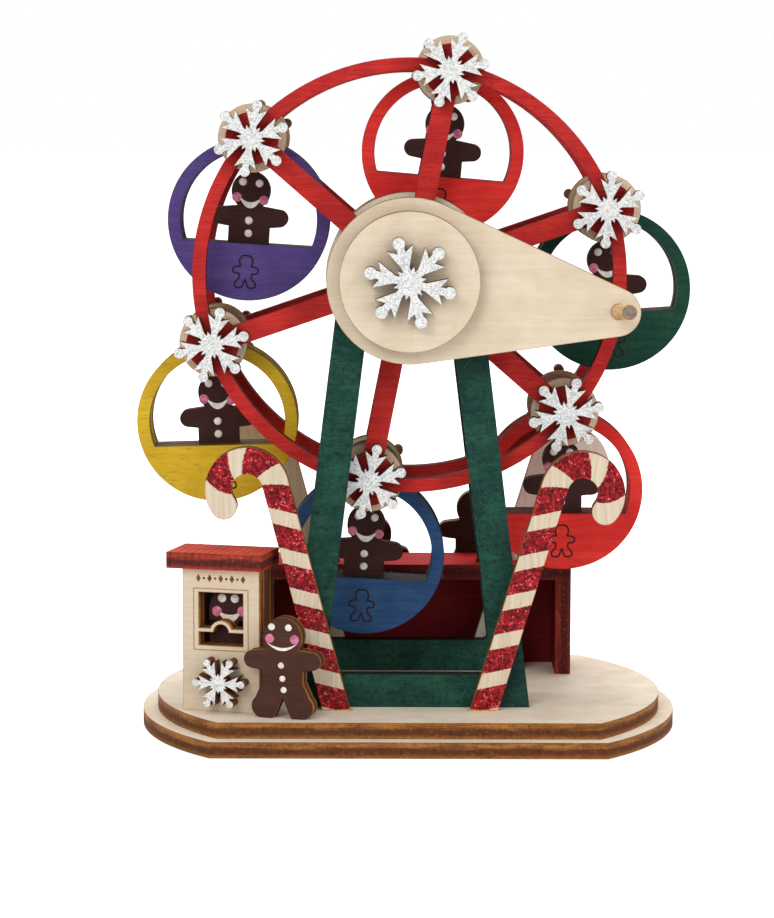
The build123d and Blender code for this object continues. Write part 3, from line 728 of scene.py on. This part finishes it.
for cabin, lookName in cabinColors.items():
    dressSheet(f"{cabin}_front_panel", lookName)
    dressSheet(f"{cabin}_rear_panel", lookName)
    dressSheet(f"{cabin}_rider", "darkRider")
dressSheet("booth_clerk", "darkRider")
dress("booth_roof", roofMaterial("scoredRoof", roofLook, findPlies("booth_roof", boothFlat)))
glitterCoats = {
    "front_wheel_snowflakes": whiteGlitter, "crank_snowflake": whiteGlitter,
    "rear_wheel_snowflakes": {**whiteGlitter, "facing": -1},
    "booth_snowflake": {**whiteGlitter, "turn": boothTurn},
}
for nodeName, look in glitterCoats.items():
    dress(nodeName, glitterMaterial(f"{nodeName}Glitter", look, findPlies(nodeName, look["turn"])))
for side, cane in canes.items():
    for end, facing in (("front", 1), ("rear", -1)):
        nodeName = f"{side}_{end}_cane"
        look = {**cane, "facing": facing, "wood": caneWoodsAndPaintedLight.get(nodeName, caneWoodsAndPaintedLight["plain"])}
        dress(nodeName, caneMaterial(f"{nodeName}Stripes", look, findPlies(nodeName, upright)))
dowel = dowelMaterial()
for nodeName in ("main_axle", "cabin_axles", "crank_handle"):
    dress(nodeName, dowel)
print("nodes dressed")


# hand-painted faces and engraved figures
def uprightPlace(x, y, z, turn=0.0, yaw=0.0):
    # brings a shape drawn in X and Y, with Z towards the viewer, to a sheet that faces the front
    stood = Matrix.Rotation(math.radians(90), 4, "X") @ Matrix.Rotation(turn, 4, "Z")
    return Matrix.Translation((x, y, z)) @ Matrix.Rotation(-yaw, 4, "Z") @ stood


def facesAround(verts):
    return {face for vert in verts for face in vert.link_faces}


def addDot(shape, x, y, radius, swell, slot):
    # a domed dab of paint, half sunk in the sheet
    made = bmesh.ops.create_uvsphere(shape, u_segments=20, v_segments=10, radius=radius * mm)
    bmesh.ops.scale(shape, vec=(1, 1, swell), verts=made["verts"])
    bmesh.ops.translate(shape, vec=(x * mm, y * mm, 0), verts=made["verts"])
    for face in facesAround(made["verts"]):
        face.material_index = slot
        face.smooth = True


def addSmile(shape, smile, slot):
    # a strip bent to a crescent, thick in the middle and pointed at its ends
    before = set(shape.verts)
    bmesh.ops.create_grid(shape, x_segments=24, y_segments=3, size=1.0)
    strip = [vert for vert in shape.verts if vert not in before]
    for vert in strip:
        share = vert.co.x
        lower = smile["corner"] - smile["depth"] * (1 - share * share)
        upper = smile["corner"] - smile["dip"] * (1 - share * share)
        height = lower + (upper - lower) * (vert.co.y + 1) / 2
        swell = smile["raise"] * (1 - 0.6 * share * share)
        vert.co = Vector((smile["middle"] + share * smile["half"], height, swell)) * mm
    faces = list(facesAround(strip))
    for face in faces:
        face.material_index = slot
    grown = bmesh.ops.extrude_face_region(shape, geom=faces)
    lowered = [item for item in grown["geom"] if isinstance(item, bmesh.types.BMVert)]
    bmesh.ops.translate(shape, vec=(0, 0, -2 * smile["raise"] * mm), verts=lowered)
    bmesh.ops.recalc_face_normals(shape, faces=list(facesAround(strip + lowered)))


def finishPiece(name, shape, place, materials, body):
    bmesh.ops.transform(shape, matrix=place, verts=shape.verts)
    mesh = bpy.data.meshes.new(name)
    shape.to_mesh(mesh)
    shape.free()
    for material in materials:
        mesh.materials.append(material)
    piece = bpy.data.objects.new(name, mesh)
    bpy.context.scene.collection.objects.link(piece)
    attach(piece, body)


def paintFace(name, face, place, body):
    # eyes, smile and buttons in white, cheeks in pink
    shape = bmesh.new()
    dabs = (("eyes", "eye", 0.35, 0), ("buttons", "button", 0.35, 0), ("cheeks", "cheek", 0.14, 1))
    for group, size, swell, paint in dabs:
        for x, y in face[group]:
            addDot(shape, x, y, face[size], swell, paint)
    addSmile(shape, face["smile"], 0)
    finishPiece(name, shape, place, [whitePaint, pinkPaint], body)


riderFace = {
    "eyes": [(-1.7, 1.75), (1.6, 1.6)], "eye": 0.8,
    "cheeks": [(-2.75, -1.4), (2.7, -1.75)], "cheek": 0.98,
    "smile": {"middle": 0.0, "half": 2.5, "corner": -0.95, "depth": 2.55, "dip": 1.35, "raise": 0.12},
    "buttons": [(-0.1, -5.95), (-0.05, -8.55)], "button": 0.8,
}
standerFace = {
    "eyes": [(-2.1, 2.05), (1.32, 2.0)], "eye": 0.7,
    "cheeks": [(-2.5, -0.25), (2.55, -0.3)], "cheek": 0.93,
    "smile": {"middle": 0.05, "half": 3.15, "corner": -1.0, "depth": 1.6, "dip": 1.0, "raise": 0.1},
    "buttons": [(-0.2, -5.5), (0.08, -8.1), (0.33, -10.3)], "button": 0.62,
}
clerkFace = {
    "eyes": [(-1.42, 1.5), (1.22, 1.48)], "eye": 0.9,
    "cheeks": [(-2.5, -1.2), (2.75, -1.05)], "cheek": 1.05,
    "smile": {"middle": 0.15, "half": 2.5, "corner": -1.0, "depth": 2.35, "dip": 0.8, "raise": 0.12},
    "buttons": [],
}

# how each cabin tilts, in degrees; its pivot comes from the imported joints
cabinHang = {
    "green_cabin": 3.7, "red_cabin": -4.8, "purple_cabin": -3.6,
    "yellow_cabin": 1.6, "blue_cabin": -3.4, "scarlet_cabin": -0.2,
}
cabinSizes = {"drop": 16.3, "head": 5.7, "riderFront": 1.6, "figure": -10.4, "halfDepth": 4.8}
engravedAside = {"yellow_cabin": 1.3}
figureLine = {"width": 0.36, "height": 0.1}
pivots = {joint["child"]: Vector(joint["pos_m"]) for joint in frame["joints"]}


def addOutline(name, path, line, place, material, body):
    # a closed line drawn on a sheet, as an engraver leaves it
    curve = bpy.data.curves.new(name + "Path", "CURVE")
    curve.dimensions = "3D"
    spline = curve.splines.new("NURBS")
    spline.points.add(len(path) - 1)
    for point, (x, y) in zip(spline.points, path):
        point.co = (x * mm, y * mm, 0, 1)
    spline.order_u = 3
    spline.use_cyclic_u = True
    spline.resolution_u = 8
    curve.bevel_depth = line["width"] * mm / 2
    curve.bevel_resolution = 2
    drawn = bpy.data.objects.new(name + "Path", curve)
    mesh = bpy.data.meshes.new_from_object(drawn)
    shape = bmesh.new()
    shape.from_mesh(mesh)
    bpy.data.meshes.remove(mesh)
    bpy.data.objects.remove(drawn)
    bpy.data.curves.remove(curve)
    bmesh.ops.remove_doubles(shape, verts=shape.verts, dist=1e-7)
    bmesh.ops.scale(shape, vec=(1, 1, line["height"] / line["width"]), verts=shape.verts)
    bmesh.ops.recalc_face_normals(shape, faces=shape.faces)
    finishPiece(name, shape, place, [material], body)


halfFigure = [
    (0, 3.25), (0.92, 3.2), (1.36, 2.3), (1.24, 1.5), (1.04, 1.12), (1.08, 1.08), (1.9, 1.0), (2.65, 0.6),
    (2.45, -0.3), (1.35, -0.35), (1.25, -0.4), (1.2, -1.5), (2.0, -2.0), (2.15, -3.0), (1.42, -3.25),
    (0.62, -3.2), (0.3, -2.4), (0, -1.3),
]
figurePath = halfFigure + [(-x, y) for x, y in reversed(halfFigure[1:-1])]


def hangingPlace(cabin, height, depth, aside=0.0):
    # a point on a sheet of a hanging cabin, height measured from the cabin's middle
    pivot, angle = pivots[cabin], math.radians(cabinHang[cabin])
    down, across = (height - cabinSizes["drop"]) * mm, aside * mm
    return uprightPlace(pivot.x - down * math.sin(angle) + across * math.cos(angle), depth * mm,
                        pivot.z + down * math.cos(angle) + across * math.sin(angle), angle)


for cabin in cabinHang:
    place = hangingPlace(cabin, cabinSizes["head"], -cabinSizes["riderFront"])
    paintFace(f"{cabin}_face", riderFace, place, cabin)
    place = hangingPlace(cabin, cabinSizes["figure"], -cabinSizes["halfDepth"], engravedAside.get(cabin, 0.0))
    addOutline(f"{cabin}_engraving", figurePath, figureLine, place, engravedLine, cabin)
print("cabin faces and engravings made")

# booth, its clerk and the standing figure
boothPlan = {
    "corner": (-44.5, -23.0), "middle": 7.9, "top": 6.4,
    "clerkFace": (8.5, 3.3, 20.6), "standerFace": (21.4, -3.2, 16.0),
    "window": {"left": -5.6, "right": 5.6, "low": 12.2, "high": 24.4}, "windowLine": {"width": 0.22, "height": 0.06},
}


def boothPlace(along, back, up):
    # a point on a sheet parallel to the booth's front
    right = Vector((math.cos(boothYaw), -math.sin(boothYaw)))
    inward = Vector((math.sin(boothYaw), math.cos(boothYaw)))
    spot = Vector(boothPlan["corner"]) + right * along + inward * back
    return uprightPlace(spot.x * mm, spot.y * mm, (boothPlan["top"] + up) * mm, 0.0, boothYaw)


paintFace("booth_clerk_face", clerkFace, boothPlace(*boothPlan["clerkFace"]), "stand")
paintFace("standing_gingerbread_face", standerFace, boothPlace(*boothPlan["standerFace"]), "stand")


def rectanglePath(left, right, low, high):
    # close pairs of points keep the curve's corners sharp
    corner = 0.02
    path = []
    for x, y, dx, dy in ((left, low, 1, 1), (right, low, -1, 1), (right, high, -1, -1), (left, high, 1, -1)):
        first, second = (x, y + dy * corner), (x + dx * corner, y)
        if dx * dy < 0:
            first, second = second, first
        path += [first, (x, y), second]
    return path


frontPlace = boothPlace(boothPlan["middle"], 0, 0)
framePath = rectanglePath(**boothPlan["window"])
addOutline("booth_window_frame_line", framePath, boothPlan["windowLine"], frontPlace, thinLine, "stand")

# a plain row of burnt lozenges and dots above the window
signRow = {"count": 9, "pitch": 1.15, "height": 26.45, "half": 0.55, "stretch": 1.6, "dot": 0.26, "thick": 0.12}
shape = bmesh.new()
for index in range(signRow["count"]):
    x = (index - (signRow["count"] - 1) / 2) * signRow["pitch"]
    if index % 2:
        addDot(shape, x, signRow["height"], signRow["dot"], 0.2, 0)
        continue
    made = bmesh.ops.create_cone(shape, cap_ends=True, segments=4, radius1=signRow["half"] * mm,
                                 radius2=signRow["half"] * 0.8 * mm, depth=signRow["thick"] * mm)
    bmesh.ops.scale(shape, vec=(1, signRow["stretch"], 1), verts=made["verts"])
    bmesh.ops.translate(shape, vec=(x * mm, signRow["height"] * mm, 0), verts=made["verts"])
finishPiece("booth_sign_row", shape, frontPlace, [signInk], "stand")
print("booth details made")

# the figures that wait behind the platform show their faces to the rear
waitingHead = 3.9  # mm from the top of the head to its middle
for name in ("upper_waiting_gingerbread", "lower_waiting_gingerbread"):
    low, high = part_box(name)
    place = uprightPlace((low.x + high.x) / 2, high.y, high.z - waitingHead * mm, 0.0, math.pi)
    paintFace(f"{name}_face", standerFace, place, "stand")


# glue that squeezed out at the front canes' feet: each spot's distance and radius
glueSpots = ((0.3, 0.7), (1.2, 0.5), (2.4, 0.45), (3.8, 0.55), (5.0, 0.6))


def addGlue(name, cane, outward):
    # spots along the foot's front edge; outward is 1 where the cane leans to the right
    low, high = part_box(cane)
    start = low.x if outward > 0 else high.x
    shape = bmesh.new()
    for distance, radius in glueSpots:
        made = bmesh.ops.create_icosphere(shape, subdivisions=3, radius=radius * mm)
        bmesh.ops.scale(shape, vec=(1.5, 0.8, 0.4), verts=made["verts"])
        bmesh.ops.translate(shape, vec=(start + outward * distance * mm, low.y, low.z), verts=made["verts"])
    for face in shape.faces:
        face.smooth = True
    finishPiece(name, shape, Matrix.Identity(4), [glueSpot], "stand")


addGlue("right_cane_glue", "right_front_cane", 1)
addGlue("left_cane_glue", "left_front_cane", -1)
print("glue made")


# floor, world and lamps
studio = {"floor": 8.0, "drop": 0.0002, "glow": 0.75, "world": 0.62, "spread": 140, "target": (0, 0, 0.07)}


def makeFloor():
    shape = bmesh.new()
    bmesh.ops.create_grid(shape, x_segments=1, y_segments=1, size=studio["floor"])
    mesh = bpy.data.meshes.new("floor")
    shape.to_mesh(mesh)
    shape.free()
    floor = bpy.data.objects.new("floor", mesh)
    floor.location.z = -studio["drop"]
    bpy.context.scene.collection.objects.link(floor)
    material, tree, shader = newMaterial("whiteFloor", 0.9, 0.1)
    place = addNode(tree, "ShaderNodeTexCoord").outputs["Object"]
    uneven = addTexture(tree, "Noise", place, Scale=6.0)[0]
    feed(tree, mixColor(tree, uneven, (0.86, 0.86, 0.86), (0.9, 0.9, 0.9)), shader.inputs["Base Color"])
    path = addNode(tree, "ShaderNodeLightPath")
    feed(tree, times(tree, path.outputs["Is Camera Ray"], studio["glow"]), shader.inputs["Emission Strength"])
    shader.inputs["Emission Color"].default_value = (1, 1, 1, 1)
    mesh.materials.append(material)


def makeWorld(strength):
    world = bpy.data.worlds.new("studio")
    bpy.context.scene.world = world
    world.use_nodes = True
    tree = world.node_tree
    background = tree.nodes["Background"]
    background.inputs["Color"].default_value = (1, 1, 1, 1)
    path = addNode(tree, "ShaderNodeLightPath")
    seen = mathNode(tree, "MAXIMUM", path.outputs["Is Camera Ray"], path.outputs["Is Transmission Ray"])
    level = mathNode(tree, "MULTIPLY_ADD", seen, 1.0 - strength, strength)
    feed(tree, level, background.inputs["Strength"])


def addLamp(name, lamp):
    data = bpy.data.lights.new(name, "AREA")
    data.shape = "DISK"
    data.size = lamp["size"]
    data.energy = lamp["power"]
    data.spread = math.radians(studio["spread"])
    hung = bpy.data.objects.new(name, data)
    hung.location = lamp["place"]
    towards = Vector(studio["target"]) - Vector(lamp["place"])
    hung.rotation_euler = towards.to_track_quat("-Z", "Y").to_euler()
    bpy.context.scene.collection.objects.link(hung)


makeFloor()
makeWorld(studio["world"])
lamps = {
    "keyLamp": {"place": (-0.38, -0.85, 0.62), "size": 0.6, "power": 2.2},
    "fillLamp": {"place": (0.7, -0.7, 0.4), "size": 0.7, "power": 1.45},
    "topLamp": {"place": (0.1, 0.35, 0.9), "size": 0.6, "power": 2.3},
    "rearLamp": {"place": (-0.5, 0.9, 0.45), "size": 0.7, "power": 1.2},
}
for name, lamp in lamps.items():
    addLamp(name, lamp)
bpy.context.scene.view_settings.view_transform = "Standard"
print("floor and lamps made")
